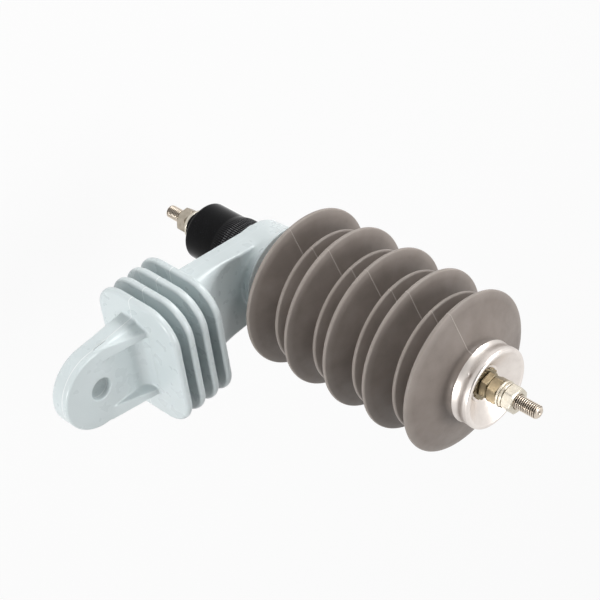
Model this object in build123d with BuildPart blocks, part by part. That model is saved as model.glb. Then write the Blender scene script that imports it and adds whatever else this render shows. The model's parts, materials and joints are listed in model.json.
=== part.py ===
from build123d import *
import math
import os

# Distribution surge arrester on an insulating bracket, with an earth disconnector.
# Millimetres. The origin is the centre of the bracket's bolt hole on the lug's lower face.
# +Z runs up along the arrester towards the line terminal, and +X from the bolt hole to its axis.

# bracket: lug and bolt hole
bolt_hole_d = 13.5
lug_thickness = 12.4
lug_tip_r = 25.3
lug_root_half = 28.0
lug_edge_r = 1.2

# bracket: lug ribs
rib_height = 8.0
rib_length = 28.0
rib_top_width = 3.6
rib_mid_y = 21.6
rib_draft = 3.0
rib_edge_r = 1.2
web_r = 8.0

# bracket: fins
fin_count = 4
fin_pitch = 10.4
fin_first_x = 34.7
fin_width = 81.4
fin_height = 63.6
fin_centre_z = 11.1
fin_corner_r = 20.5
fin_thickness = 4.6
fin_edge_r = 1.8

# bracket: arm, boss and collar
arrester_x = 131.0
core_top_z = 22.0
arm_bottom_z = 2.5
arm_fin_half = 31.9
arm_fin_top_z = 31.0
arm_root_r = 2.0
valley_x = 95.0
valley_z = 15.8
crest_r = 1.2
boss_r = 24.2
collar_r = 31.0
collar_top_z = 28.0
collar_flare_z = 12.4
collar_seat_z = 18.0
collar_edge_r = 0.9
boss_draft = 0.6
flare_r = 26.0

# silicone housing
big_shed_count = 5
big_shed_r = 48.0
small_shed_r = 41.2
shed_pitch = 29.3
small_shed_rise = 15.5
first_shed_z = 44.4
shed_rim = 2.6
shed_top_rise = 7.0
shed_under_rise = 3.2
trunk_r = 22.0
shed_root = 1.8
shed_rim_r = 1.1
seat_above_shed = 15.4

# arrester column
tube_r = 19.0
tube_wall = 2.5
disc_count = 5
disc_r = 16.0
disc_edge_r = 0.8
electrode_play = 0.3
earth_electrode_h = 16.0
line_electrode_h = 18.3
contact_plate_h = 2.0
spring_h = 6.0
spring_sheet = 1.5
spring_bore_r = 5.0
seal_section = 2.6
seal_squeeze = 0.1
seal_from_end = 5.0
groove_overcut = 1.0

# end caps
cap_rim_r = 24.2
cap_waist_r = 23.5
cap_lip_r = 24.5
cap_lip_h = 1.6
cap_sheet = 1.2
cap_height = 10.6
dish_depth = 8.0
dish_floor_r = 11.0
dish_rim_width = 1.6
cap_edge_r = 0.8
base_cap_r = 24.2
base_cap_h = 13.0
base_cap_floor = 2.0
crimp_r = 1.1
crimp_depth = 0.6
crimp_turn = 128.0

# fasteners
stud_r = 4.0
stud_chamfer = 0.8
thread_play = 0.2
run_out = 0.6
line_stud_rise = 37.3
line_stud_bite = 14.0
nut_across_flats = 14.0
nut_h = 6.8
thin_nut_h = 5.0
nut_chamfer = 0.9
washer_bore_r = 4.3
toothed_r = 9.6
toothed_h = 1.2
tooth_count = 18
tooth_r = 0.85
flat_washer_r = 7.9
earth_washer_r = 9.1
flat_washer_h = 1.6
spring_washer_r = 7.4
spring_washer_h = 2.0
spring_washer_split = 1.0
line_split_turn = 200.0
earth_split_turn = 20.0
clamp_nut_turn = 8.0
lock_nut_turn = 22.0
terminal_nut_turn = 0.0
earth_nut_turn = 14.0
joining_r = 5.0
joining_up = 12.0
joining_down = 7.0
joining_play = 0.5

# disconnector
case_r = 17.8
knurl_r = 19.0
knurl_length = 17.5
case_length = 42.0
case_edge_r = 1.2
case_blend_r = 6.0
neck_r = 9.5
neck_length = 8.0
plate_r = 15.0
plate_h = 7.5
cavity_r = 13.2
ring_h = 14.0
ring_bore_r = 6.0
cartridge_r = 5.0
stud_head_h = 5.0
earth_stud_drop = 23.5
slip = 0.15

# derived places
fin_face_x = fin_first_x - fin_thickness / 2
last_fin_x = fin_first_x + (fin_count - 1) * fin_pitch
arm_start_x = last_fin_x + fin_thickness / 2
base_floor_z = collar_seat_z + base_cap_floor
top_shed_z = first_shed_z + (big_shed_count - 1) * shed_pitch
line_seat_z = top_shed_z + seat_above_shed
line_stud_tip_z = line_seat_z + line_stud_rise
housing_top_z = line_seat_z - cap_sheet
tube_bore_r = tube_r - tube_wall
electrode_r = tube_bore_r - electrode_play
column_z = base_floor_z + earth_electrode_h
line_electrode_z = housing_top_z - line_electrode_h
spring_z = line_electrode_z - spring_h
plate_z = spring_z - contact_plate_h
disc_height = (plate_z - column_z) / disc_count
case_bottom_z = arm_bottom_z - case_length
plate_under_z = arm_bottom_z - plate_h
ring_under_z = plate_under_z - ring_h
head_under_z = ring_under_z - stud_head_h
earth_seat_z = case_bottom_z - neck_length
earth_stud_tip_z = earth_seat_z - earth_stud_drop
earth_free_z = earth_seat_z - flat_washer_h - spring_washer_h - nut_h - run_out

# how near an edge's middle lies to a plane to count as on it
on_plane = 0.05

# the vertical plane through the arrester's axis: its x is the radius, its y the height
axis_plane = Plane(origin=(arrester_x, 0, 0), x_dir=(1, 0, 0), z_dir=(0, -1, 0))
arrester_axis = Axis((arrester_x, 0, 0), (0, 0, 1))

os.makedirs("parts", exist_ok=True)


def save(piece, name):
    piece.part.label = name
    export_step(piece.part, f"parts/{name}.step")


def level(z):
    """A horizontal plane centred on the arrester's axis."""
    return Plane(origin=(arrester_x, 0, z))


def ring(name, bottom_z, height, outer_r, inner_r):
    with BuildPart() as piece:
        with BuildSketch(level(bottom_z)):
            Circle(outer_r)
            if inner_r > 0:
                Circle(inner_r, mode=Mode.SUBTRACT)
        extrude(amount=height)
    save(piece, name)


# ---- insulating bracket ----
# The ribs stand on the lug's face and fall away from the first fin to nothing.
# Each has drafted sides, and between them the web sweeps up into the fin.
rib_tip_x = fin_face_x - rib_length
rib_inner_y = rib_mid_y - rib_top_width / 2
rib_outer_y = rib_mid_y + rib_top_width / 2
rib_root_z = lug_thickness - lug_edge_r
with BuildPart() as lug_ribs:
    with BuildSketch(Plane.YZ.offset(fin_face_x)) as rib_section:
        for side in (-1, 1):
            with BuildLine():
                Polyline(
                    (side * (rib_inner_y - rib_draft), rib_root_z),
                    (side * rib_inner_y, lug_thickness + rib_height),
                    (side * rib_outer_y, lug_thickness + rib_height),
                    (side * (rib_outer_y + rib_draft), rib_root_z),
                    close=True,
                )
            make_face()
        fillet(rib_section.vertices().group_by(Axis.Y)[-1], rib_edge_r)
    extrude(amount=-rib_length)
    with BuildSketch(Plane.XZ):
        with BuildLine():
            Polyline(
                (rib_tip_x, rib_root_z),
                (rib_tip_x, lug_thickness),
                (fin_face_x, lug_thickness + rib_height),
                (fin_face_x, rib_root_z),
                close=True,
            )
        make_face()
    extrude(amount=fin_width / 2, both=True, mode=Mode.INTERSECT)
    with BuildSketch(Plane.XZ):
        with BuildLine():
            Line((fin_face_x - web_r, lug_thickness), (fin_face_x, lug_thickness))
            Line((fin_face_x, lug_thickness), (fin_face_x, lug_thickness + web_r))
            RadiusArc((fin_face_x - web_r, lug_thickness), (fin_face_x, lug_thickness + web_r), web_r)
        make_face()
    extrude(amount=rib_mid_y, both=True)

# One fin is a rounded-square plate with its rim rolled over on both faces.
with BuildPart() as fin_plate:
    with BuildSketch(Plane.YZ):
        with Locations((0, fin_centre_z)):
            RectangleRounded(fin_width, fin_height, fin_corner_r)
    extrude(amount=fin_thickness / 2, both=True)
    fillet(fin_plate.faces().filter_by(Axis.X).edges(), fin_edge_r)

# The lug is a flat slab with a round end and rolled edges, and its root ends inside the first fin.
with BuildPart() as lug_slab:
    with BuildSketch(Plane.XY):
        with BuildLine():
            ThreePointArc((0, -lug_tip_r), (-lug_tip_r, 0), (0, lug_tip_r))
            Line((0, lug_tip_r), (fin_first_x, lug_root_half))
            Line((fin_first_x, lug_root_half), (fin_first_x, -lug_root_half))
            Line((fin_first_x, -lug_root_half), (0, -lug_tip_r))
        make_face()
    extrude(amount=lug_thickness)
    fillet(lug_slab.faces().filter_by(Axis.Z).edges(), lug_edge_r)

# The arm narrows in plan towards the boss, and its upper side is one deep hollow sweep.
arm_rise_x = arrester_x - boss_r
with BuildPart() as arm:
    with BuildSketch(Plane.XY):
        with BuildLine():
            Polyline(
                (fin_first_x, lug_root_half),
                (arm_start_x, arm_fin_half),
                (arrester_x, boss_r),
                (arrester_x, -boss_r),
                (arm_start_x, -arm_fin_half),
                (fin_first_x, -lug_root_half),
                close=True,
            )
        make_face()
    extrude(amount=fin_height)
    with BuildSketch(Plane.XZ):
        with BuildLine():
            ThreePointArc(
                (arm_rise_x, collar_seat_z),
                (valley_x, valley_z),
                (last_fin_x, arm_fin_top_z),
            )
            Polyline(
                (last_fin_x, arm_fin_top_z),
                (last_fin_x, core_top_z),
                (fin_first_x, core_top_z),
                (fin_first_x, arm_bottom_z),
                (arrester_x, arm_bottom_z),
                (arrester_x, collar_seat_z),
                (arm_rise_x, collar_seat_z),
            )
        make_face()
    extrude(amount=fin_width / 2, both=True, mode=Mode.INTERSECT)
    hollow_edges = arm.edges().filter_by(lambda e: arm_start_x < e.center().X < arm_rise_x)
    side_edges = hollow_edges.filter_by(lambda e: abs(e.center().Y) > boss_r)
    fillet(side_edges.filter_by(lambda e: e.center().Z > collar_flare_z), crest_r)

with BuildPart() as insulating_bracket:
    add(lug_slab.part)
    add(arm.part)
    add(lug_ribs.part)
    with Locations(*[(fin_first_x + fin * fin_pitch, 0, 0) for fin in range(fin_count)]):
        add(fin_plate.part)
    roots = insulating_bracket.edges().filter_by(lambda e: abs(e.center().X - arm_start_x) < on_plane)
    arm_roots = roots.filter_by(lambda e: arm_bottom_z - on_plane < e.center().Z < arm_fin_top_z)
    fillet(arm_roots, arm_root_r)

    # boss under the arrester, flaring into the collar that holds its base
    with BuildSketch(axis_plane):
        with BuildLine():
            Polyline(
                (collar_r, collar_top_z - collar_edge_r),
                (collar_r, collar_top_z),
                (0, collar_top_z),
                (0, arm_bottom_z),
                (boss_r, arm_bottom_z),
                (boss_r + boss_draft, collar_flare_z),
            )
            RadiusArc(
                (collar_r, collar_top_z - collar_edge_r),
                (boss_r + boss_draft, collar_flare_z),
                -flare_r,
            )
        make_face()
    revolve(axis=arrester_axis)
    with BuildSketch(level(collar_top_z)):
        Circle(base_cap_r + slip)
    extrude(amount=collar_seat_z - collar_top_z, mode=Mode.SUBTRACT)
    with BuildSketch(level(arm_bottom_z)):
        Circle(joining_r + joining_play)
    extrude(amount=collar_seat_z, mode=Mode.SUBTRACT)
    with BuildSketch(Plane.XY):
        Circle(bolt_hole_d / 2)
    extrude(amount=lug_thickness, mode=Mode.SUBTRACT)
save(insulating_bracket, "insulating_bracket")


# ---- silicone housing ----
# Each shed falls outwards on top and is undercut below, with a rounded rim and a splayed root.
def shed_outline(rim_r, rim_z):
    reach = rim_r - trunk_r
    under_z = rim_z - shed_rim / 2
    over_z = rim_z + shed_rim / 2
    under_slope = shed_under_rise / reach
    over_slope = shed_top_rise / (big_shed_r - trunk_r)
    points = [
        (trunk_r, under_z + under_slope * reach - shed_root),
        (trunk_r + shed_root, under_z + under_slope * (reach - shed_root)),
        (rim_r, under_z),
        (rim_r, over_z),
        (trunk_r + shed_root, over_z + over_slope * (reach - shed_root)),
        (trunk_r, over_z + over_slope * reach + shed_root),
    ]
    return points, [0, 0, shed_rim_r, shed_rim_r, 0, 0]


profile = [(trunk_r, base_floor_z)]
radii = []
for shed in range(big_shed_count):
    rim_z = first_shed_z + shed * shed_pitch
    points, corners = shed_outline(big_shed_r, rim_z)
    profile += points
    radii += corners
    if shed < big_shed_count - 1:
        points, corners = shed_outline(small_shed_r, rim_z + small_shed_rise)
        profile += points
        radii += corners
profile.append((trunk_r, housing_top_z))

with BuildPart() as silicone_housing:
    with BuildSketch(axis_plane):
        with BuildLine():
            FilletPolyline(*profile, radius=radii)
            Polyline(
                (trunk_r, housing_top_z),
                (tube_r + slip, housing_top_z),
                (tube_r + slip, base_floor_z),
                (trunk_r, base_floor_z),
            )
        make_face()
    revolve(axis=arrester_axis)
save(silicone_housing, "silicone_housing")


# ---- arrester column ----
ring("fibreglass_tube", base_floor_z, housing_top_z - base_floor_z, tube_r, tube_bore_r)

for disc in range(disc_count):
    with BuildPart() as varistor_disc:
        with BuildSketch(level(column_z + disc * disc_height)):
            Circle(disc_r)
        extrude(amount=disc_height)
        chamfer(varistor_disc.edges().filter_by(GeomType.CIRCLE), disc_edge_r)
    save(varistor_disc, f"varistor_disc_{disc + 1}")

ring("contact_plate", plate_z, contact_plate_h, disc_r, 0)

# a coned disc spring, dished so that its rim bears on the plate and its bore on the electrode
with BuildPart() as disc_spring:
    with BuildSketch(axis_plane):
        with BuildLine():
            Polyline(
                (disc_r, spring_z),
                (disc_r, spring_z + spring_sheet),
                (spring_bore_r, spring_z + spring_h),
                (spring_bore_r, spring_z + spring_h - spring_sheet),
                close=True,
            )
        make_face()
    revolve(axis=arrester_axis)
save(disc_spring, "disc_spring")


def electrode(name, bottom_z, top_z, bore_r, bore_z, bore_depth, seal_z):
    """A turned slug with a threaded bore and a groove for its seal ring."""
    groove_r = tube_bore_r - seal_section - seal_squeeze
    with BuildPart() as piece:
        with BuildSketch(level(bottom_z)):
            Circle(electrode_r)
        extrude(amount=top_z - bottom_z)
        with BuildSketch(level(bore_z)):
            Circle(bore_r + thread_play)
        extrude(amount=bore_depth, mode=Mode.SUBTRACT)
        with BuildSketch(level(seal_z - seal_section / 2 - seal_squeeze)):
            Circle(electrode_r + groove_overcut)
            Circle(groove_r, mode=Mode.SUBTRACT)
        extrude(amount=seal_section + 2 * seal_squeeze, mode=Mode.SUBTRACT)
    save(piece, name)


earth_seal_z = base_floor_z + seal_from_end
line_seal_z = housing_top_z - seal_from_end
electrode(
    "earth_electrode", base_floor_z, column_z,
    joining_r, base_floor_z, joining_up, earth_seal_z,
)
electrode(
    "line_electrode", line_electrode_z, housing_top_z,
    stud_r, housing_top_z, -line_stud_bite, line_seal_z,
)

for name, seal_z in (("earth_seal_ring", earth_seal_z), ("line_seal_ring", line_seal_z)):
    with BuildPart() as seal_ring:
        with BuildSketch(axis_plane):
            with Locations((tube_bore_r - seal_section / 2 - seal_squeeze / 2, seal_z)):
                Circle(seal_section / 2 - seal_squeeze / 2)
        revolve(axis=arrester_axis)
    save(seal_ring, name)


# ---- end caps ----
# The line cap is one spun cup: a rolled lip, a waisted wall and a face dished to the nut seat.
rim_z = line_seat_z + dish_depth
lip_z = rim_z - cap_height
wall_mid = cap_sheet / 2
with BuildPart() as line_end_cap:
    with BuildSketch(axis_plane):
        with BuildLine():
            FilletPolyline(
                (cap_lip_r - wall_mid, lip_z),
                (cap_lip_r - wall_mid, lip_z + cap_lip_h),
                (cap_waist_r - wall_mid, lip_z + 2 * cap_lip_h),
                (cap_waist_r - wall_mid, rim_z - cap_height / 3),
                (cap_rim_r - wall_mid, rim_z - wall_mid),
                (cap_rim_r - wall_mid - dish_rim_width, rim_z - wall_mid),
                (dish_floor_r, line_seat_z - wall_mid),
                (stud_r + thread_play, line_seat_z - wall_mid),
                radius=cap_edge_r,
            )
        trace(line_width=cap_sheet)
    revolve(axis=arrester_axis)
    crimp_x = arrester_x + (cap_waist_r + crimp_r - crimp_depth) * math.cos(math.radians(crimp_turn))
    crimp_y = (cap_waist_r + crimp_r - crimp_depth) * math.sin(math.radians(crimp_turn))
    with Locations((crimp_x, crimp_y, rim_z - cap_height / 2)):
        Sphere(crimp_r, mode=Mode.SUBTRACT)
save(line_end_cap, "line_end_cap")

with BuildPart() as earth_end_cap:
    with BuildSketch(level(collar_seat_z)):
        Circle(base_cap_r)
    extrude(amount=base_cap_h)
    with BuildSketch(level(base_floor_z)):
        Circle(trunk_r + slip)
    extrude(amount=base_cap_h, mode=Mode.SUBTRACT)
    with BuildSketch(level(collar_seat_z)):
        Circle(joining_r + joining_play)
    extrude(amount=base_cap_floor, mode=Mode.SUBTRACT)
save(earth_end_cap, "earth_end_cap")


# ---- fasteners ----
def stud(name, bottom_z, top_z, free_z):
    """A terminal stud: full thread radius on its free length, less the play where it is engaged."""
    with BuildPart() as piece:
        with BuildSketch(level(bottom_z)):
            Circle(stud_r - thread_play)
        extrude(amount=free_z - bottom_z)
        with BuildSketch(level(free_z)):
            Circle(stud_r)
        extrude(amount=top_z - free_z)
        chamfer(piece.edges().group_by(Axis.Z)[-1], stud_chamfer)
    save(piece, name)


def nut(name, bottom_z, height, turn):
    """A hexagon nut whose corners are turned off by a cone at both faces."""
    corner_r = nut_across_flats / math.sqrt(3)
    with BuildPart() as piece:
        with BuildSketch(level(bottom_z)):
            RegularPolygon(corner_r, 6, rotation=turn)
        extrude(amount=height)
        with BuildSketch(axis_plane):
            with BuildLine():
                Polyline(
                    (0, bottom_z),
                    (nut_across_flats / 2, bottom_z),
                    (corner_r, bottom_z + nut_chamfer / 2),
                    (corner_r, bottom_z + height - nut_chamfer / 2),
                    (nut_across_flats / 2, bottom_z + height),
                    (0, bottom_z + height),
                    close=True,
                )
            make_face()
        revolve(axis=arrester_axis, mode=Mode.INTERSECT)
        with BuildSketch(level(bottom_z)):
            Circle(stud_r + thread_play)
        extrude(amount=height, mode=Mode.SUBTRACT)
    save(piece, name)


def spring_washer(name, bottom_z, turn):
    with BuildPart() as piece:
        with BuildSketch(level(bottom_z)):
            Circle(spring_washer_r)
            Circle(washer_bore_r, mode=Mode.SUBTRACT)
            with Locations(Rotation(0, 0, turn)):
                with Locations((spring_washer_r, 0)):
                    Rectangle(2 * spring_washer_r, spring_washer_split, mode=Mode.SUBTRACT)
        extrude(amount=spring_washer_h)
    save(piece, name)


stack_z = line_seat_z
with BuildPart() as line_toothed_washer:
    with BuildSketch(level(stack_z)):
        Circle(toothed_r)
        Circle(washer_bore_r, mode=Mode.SUBTRACT)
        with PolarLocations(toothed_r, tooth_count):
            Circle(tooth_r, mode=Mode.SUBTRACT)
    extrude(amount=toothed_h)
save(line_toothed_washer, "line_toothed_washer")

stack_z += toothed_h
nut("line_clamp_nut", stack_z, thin_nut_h, clamp_nut_turn)
stack_z += thin_nut_h
nut("line_lock_nut", stack_z, nut_h, lock_nut_turn)
stack_z += nut_h
ring("line_flat_washer", stack_z, flat_washer_h, flat_washer_r, washer_bore_r)
stack_z += flat_washer_h
spring_washer("line_spring_washer", stack_z, line_split_turn)
stack_z += spring_washer_h
nut("line_terminal_nut", stack_z, nut_h, terminal_nut_turn)
stack_z += nut_h
stud("line_stud", housing_top_z - line_stud_bite, line_stud_tip_z, stack_z + run_out)

with BuildPart() as joining_stud:
    with BuildSketch(level(arm_bottom_z - joining_down)):
        Circle(joining_r)
    extrude(amount=joining_down + base_floor_z - arm_bottom_z + joining_up)
    chamfer(joining_stud.edges().filter_by(GeomType.CIRCLE), stud_chamfer)
save(joining_stud, "joining_stud")


# ---- disconnector ----
# The case is one moulding: a knurled band at the bracket, a plain body and a neck at the earth end.
with BuildPart() as disconnector_case:
    knurl_z = arm_bottom_z - knurl_length
    with BuildSketch(axis_plane):
        with BuildLine():
            FilletPolyline(
                (knurl_r, arm_bottom_z),
                (knurl_r, knurl_z + case_blend_r / 2),
                (case_r, knurl_z - case_blend_r / 2),
                (case_r, case_bottom_z),
                (neck_r, case_bottom_z),
                (neck_r, earth_seat_z),
                (stud_r + thread_play, earth_seat_z),
                radius=case_edge_r,
            )
            Polyline(
                (stud_r + thread_play, earth_seat_z),
                (stud_r + thread_play, head_under_z),
                (cavity_r, head_under_z),
                (cavity_r, plate_under_z),
                (plate_r + slip, plate_under_z),
                (plate_r + slip, arm_bottom_z),
                (knurl_r, arm_bottom_z),
            )
        make_face()
    revolve(axis=arrester_axis)
save(disconnector_case, "disconnector_case")

ring("disconnector_plate", plate_under_z, plate_h, plate_r, joining_r + thread_play)
ring("grading_ring", ring_under_z, ring_h, cavity_r - slip, ring_bore_r)
ring("disconnector_cartridge", ring_under_z, ring_h, cartridge_r, 0)

with BuildPart() as earth_stud:
    with BuildSketch(level(head_under_z)):
        Circle(cavity_r - slip)
    extrude(amount=stud_head_h)
    with BuildSketch(level(earth_free_z)):
        Circle(stud_r - thread_play)
    extrude(amount=head_under_z - earth_free_z)
    with BuildSketch(level(earth_stud_tip_z)):
        Circle(stud_r)
    extrude(amount=earth_free_z - earth_stud_tip_z)
    chamfer(earth_stud.edges().group_by(Axis.Z)[0], stud_chamfer)
save(earth_stud, "earth_stud")

stack_z = earth_seat_z - flat_washer_h
ring("earth_flat_washer", stack_z, flat_washer_h, earth_washer_r, washer_bore_r)
stack_z -= spring_washer_h
spring_washer("earth_spring_washer", stack_z, earth_split_turn)
stack_z -= nut_h
nut("earth_nut", stack_z, nut_h, earth_nut_turn)
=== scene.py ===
import json

import bpy
import numpy as np
from mathutils import Matrix, Vector


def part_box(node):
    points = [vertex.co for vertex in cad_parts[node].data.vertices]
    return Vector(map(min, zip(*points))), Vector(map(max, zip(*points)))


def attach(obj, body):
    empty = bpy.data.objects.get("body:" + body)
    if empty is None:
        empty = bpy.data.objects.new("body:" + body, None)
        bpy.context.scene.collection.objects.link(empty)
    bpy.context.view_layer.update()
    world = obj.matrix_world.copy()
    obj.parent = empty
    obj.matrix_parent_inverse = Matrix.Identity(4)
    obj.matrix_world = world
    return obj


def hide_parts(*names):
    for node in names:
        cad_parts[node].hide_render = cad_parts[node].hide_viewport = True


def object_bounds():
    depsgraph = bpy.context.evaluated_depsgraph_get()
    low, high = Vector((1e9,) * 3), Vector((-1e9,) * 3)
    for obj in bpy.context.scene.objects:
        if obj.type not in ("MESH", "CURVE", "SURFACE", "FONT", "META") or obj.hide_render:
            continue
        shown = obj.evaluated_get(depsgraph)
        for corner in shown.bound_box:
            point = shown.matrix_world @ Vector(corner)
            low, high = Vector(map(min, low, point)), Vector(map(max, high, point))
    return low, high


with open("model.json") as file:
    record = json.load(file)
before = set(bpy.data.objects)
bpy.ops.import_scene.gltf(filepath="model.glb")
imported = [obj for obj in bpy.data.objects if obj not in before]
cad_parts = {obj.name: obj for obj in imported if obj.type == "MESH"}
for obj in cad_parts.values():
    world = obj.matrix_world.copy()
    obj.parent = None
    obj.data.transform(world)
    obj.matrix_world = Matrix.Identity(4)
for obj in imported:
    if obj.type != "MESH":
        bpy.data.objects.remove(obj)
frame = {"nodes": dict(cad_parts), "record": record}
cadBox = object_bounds()
print("frame loaded:", len(frame["nodes"]), "nodes")

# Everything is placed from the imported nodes. Sizes in the dictionaries are millimetres, meshes are metres.
mm = 0.001
samePlace = 1e-4  # points closer than this are one


def nodeBox(node):
    low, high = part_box(node)
    return np.array(low) / mm, np.array(high) / mm


tubeLow, tubeHigh = nodeBox("fibreglass_tube")
axisX = (tubeLow[0] + tubeHigh[0]) / 2  # the arrester's axis stands here, at Y 0


def meshFromGrid(name, points, closedRows, slot, nodes, creaseDegrees=40, extra=None, look=None):
    # points is rows x columns x 3. Quads join each point to the next row and column, and the columns
    # close round. Points that fall together, such as a pole, become one, so quads there turn into triangles.
    rows, columns = points.shape[:2]
    index = np.arange(rows * columns).reshape(rows, columns)
    if closedRows:
        index = np.vstack([index, index[:1]])
    right = np.roll(index, -1, axis=1)
    quads = np.stack([index[:-1], right[:-1], right[1:], index[1:]], axis=-1).reshape(-1, 4)
    flat = points.reshape(-1, 3)
    keys = np.round(flat / samePlace).astype(np.int64)
    _, first, back = np.unique(keys, axis=0, return_index=True, return_inverse=True)
    back = back.reshape(-1)
    wearAndHighlight = None if extra is None else extra.reshape(-1)[first]
    return makePiece(name, flat[first], back[quads], slot, nodes, creaseDegrees, wearAndHighlight, look=look)


def makePiece(name, verts, quads, slot, nodes, creaseDegrees, extra=None, normals=None, look=None):
    # verts in mm, quads as index rows. A quad with a repeated corner is written as a triangle. extra is the
    # wear and painted light at each point, from 0 to 1, and look names a finish other than the slot's own.
    quads = np.asarray(quads)
    same = quads == np.roll(quads, -1, axis=1)
    whole = quads[~same.any(axis=1)]
    pinched = quads[same.sum(axis=1) == 1]
    keep = ~same[same.sum(axis=1) == 1]
    triangles = pinched[keep].reshape(-1, 3)
    fans = np.vstack([whole[:, [0, 1, 2]], whole[:, [0, 2, 3]], triangles])
    corner = verts[fans]
    volume = np.einsum("ij,ij->i", corner[:, 0], np.cross(corner[:, 1], corner[:, 2])).sum()
    if volume < 0:  # faces point outwards
        whole, triangles = whole[:, ::-1], triangles[:, ::-1]
    mesh = bpy.data.meshes.new(name)
    mesh.from_pydata((verts * mm).tolist(), [], whole.tolist() + triangles.tolist())
    mesh.shade_smooth()
    mesh.set_sharp_from_angle(angle=np.radians(creaseDegrees))
    if extra is not None:
        # the attribute carries wear and painted highlight where high, and on the studs painted shade where
        # low
        layer = mesh.attributes.new("wearAndHighlight", "FLOAT", "POINT")
        layer.data.foreach_set("value", np.clip(extra, 0, 1).astype(np.float32))
    mesh.update()
    if normals is not None:
        mesh.normals_split_custom_set_from_vertices(normals.tolist())
    piece = bpy.data.objects.new(name, mesh)
    bpy.context.scene.collection.objects.link(piece)
    mesh.materials.append(looks[look or slot])
    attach(piece, "root")
    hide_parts(*nodes)
    print("piece", name, len(whole) * 2 + len(triangles), "triangles")
    return piece


def roundedPath(corners, radii, steps=6, closed=False):
    # A polyline whose corners are replaced by arcs. Each starts radius / tan(half angle) before its corner.
    corners = np.asarray(corners, float)
    path = []
    count = len(corners)
    for i in range(count):
        here = corners[i]
        if not closed and i in (0, count - 1) or radii[i] == 0:
            path.append(here[None])
            continue
        before = corners[i - 1] - here
        after = corners[(i + 1) % count] - here
        a, b = before / np.linalg.norm(before), after / np.linalg.norm(after)
        half = np.arccos(np.clip(a @ b, -1, 1)) / 2
        centre = here + (a + b) / np.linalg.norm(a + b) * radii[i] / np.sin(half)
        start = here + a * radii[i] / np.tan(half) - centre
        end = here + b * radii[i] / np.tan(half) - centre
        t = np.linspace(0, 1, steps)[:, None]
        turn = np.pi - 2 * half
        path.append(centre + (start * np.sin((1 - t) * turn) + end * np.sin(t * turn)) / np.sin(turn))
    return np.vstack(path)


def subdivide(path, spacing, closed=False):
    # Extra points so that no two neighbours on the path are further apart than the spacing.
    ends = np.vstack([path, path[:1]]) if closed else path
    pieces = []
    for a, b in zip(ends[:-1], ends[1:]):
        count = max(1, int(np.ceil(np.linalg.norm(b - a) / spacing)))
        pieces.append(a + (b - a) * (np.arange(count) / count)[:, None])
    if not closed:
        pieces.append(ends[-1:])
    return np.vstack(pieces)


def pathNormals(path, closed=False):
    # The normal is the tangent turned a quarter clockwise. The tangent runs from one neighbour to the other.
    if closed:
        tangent = np.roll(path, -1, axis=0) - np.roll(path, 1, axis=0)
    else:
        tangent = np.gradient(path, axis=0)
    tangent /= np.maximum(np.linalg.norm(tangent, axis=1, keepdims=True), 1e-9)
    return np.stack([tangent[:, 1], -tangent[:, 0]], axis=1)


def turned(radius, height, turns):
    # Each point stands at the radius from the arrester's axis, at the turn's angle and at the height.
    radius, height, turns = np.broadcast_arrays(radius, height, turns)
    return np.stack([axisX + radius * np.cos(turns), radius * np.sin(turns), height], axis=-1)


def fullTurn(count, fineAt=(), fineStep=0.12, fineReach=1.6):
    # Angles once round in radians, with extra ones close together at each place in fineAt, given in degrees.
    angles = np.arange(count) * 360.0 / count
    fine = np.concatenate([[0], np.geomspace(fineStep, fineReach, 7)])
    fine = np.unique(np.concatenate([-fine, fine]))
    for place in fineAt:
        apart = np.abs((angles - place + 180) % 360 - 180)
        angles = np.concatenate([angles[apart > fineReach * 1.2], (place + fine) % 360])
    return np.radians(np.sort(angles))


def linearColour(hexText):
    # sRGB to linear: c / 12.92 near black, and ((c + 0.055) / 1.055) ^ 2.4 above it.
    value = np.array([int(hexText[i:i + 2], 16) for i in (1, 3, 5)]) / 255
    value = np.where(value <= 0.04045, value / 12.92, ((value + 0.055) / 1.055) ** 2.4)
    return (*value.tolist(), 1.0)


def addNode(tree, kind, links=None, give=0, **settings):
    # links maps an input, by name or number, to an output socket or to a plain value. The output that give
    # names comes back, or the node itself where give is None.
    node = tree.nodes.new(kind)
    for key, value in settings.items():
        setattr(node, key, value)
    for key, value in (links or {}).items():
        if isinstance(value, bpy.types.NodeSocket):
            tree.links.new(value, node.inputs[key])
        else:
            node.inputs[key].default_value = value
    return node if give is None else node.outputs[give]


def newMaterial(name, **sockets):
    # A Principled surface with plain values on its own sockets, and the place that its patterns read: Object
    # coordinates in millimetres, with the arrester's axis moved to the origin.
    material = bpy.data.materials.new(name)
    material.use_nodes = True
    tree = material.node_tree
    tree.nodes.clear()
    output = addNode(tree, "ShaderNodeOutputMaterial", give=None)
    shader = addNode(tree, "ShaderNodeBsdfPrincipled", give=None)
    tree.links.new(shader.outputs[0], output.inputs[0])
    for key, value in sockets.items():
        shader.inputs[key.replace("_", " ")].default_value = value
    where = addNode(tree, "ShaderNodeTexCoord", give="Object")
    place = addNode(tree, "ShaderNodeMapping", {0: where, 1: (-axisX, 0, 0), 3: (1 / mm,) * 3})
    return material, tree, shader, place


def dress(tree, shader, colour, roughness, normal):
    for key, value in {"Base Color": colour, "Roughness": roughness, "Normal": normal}.items():
        tree.links.new(value, shader.inputs[key])


def aroundAxis(tree, place):
    # Distance from the axis, the angle round it in radians and the height along it.
    parts = addNode(tree, "ShaderNodeSeparateXYZ", {0: place}, give=None).outputs
    flat = addNode(tree, "ShaderNodeCombineXYZ", {0: parts[0], 1: parts[1]})
    reach = addNode(tree, "ShaderNodeVectorMath", {0: flat}, "Value", operation="LENGTH")
    sweep = addNode(tree, "ShaderNodeMath", {0: parts[1], 1: parts[0]}, operation="ARCTAN2")
    return reach, sweep, parts[2]
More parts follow.
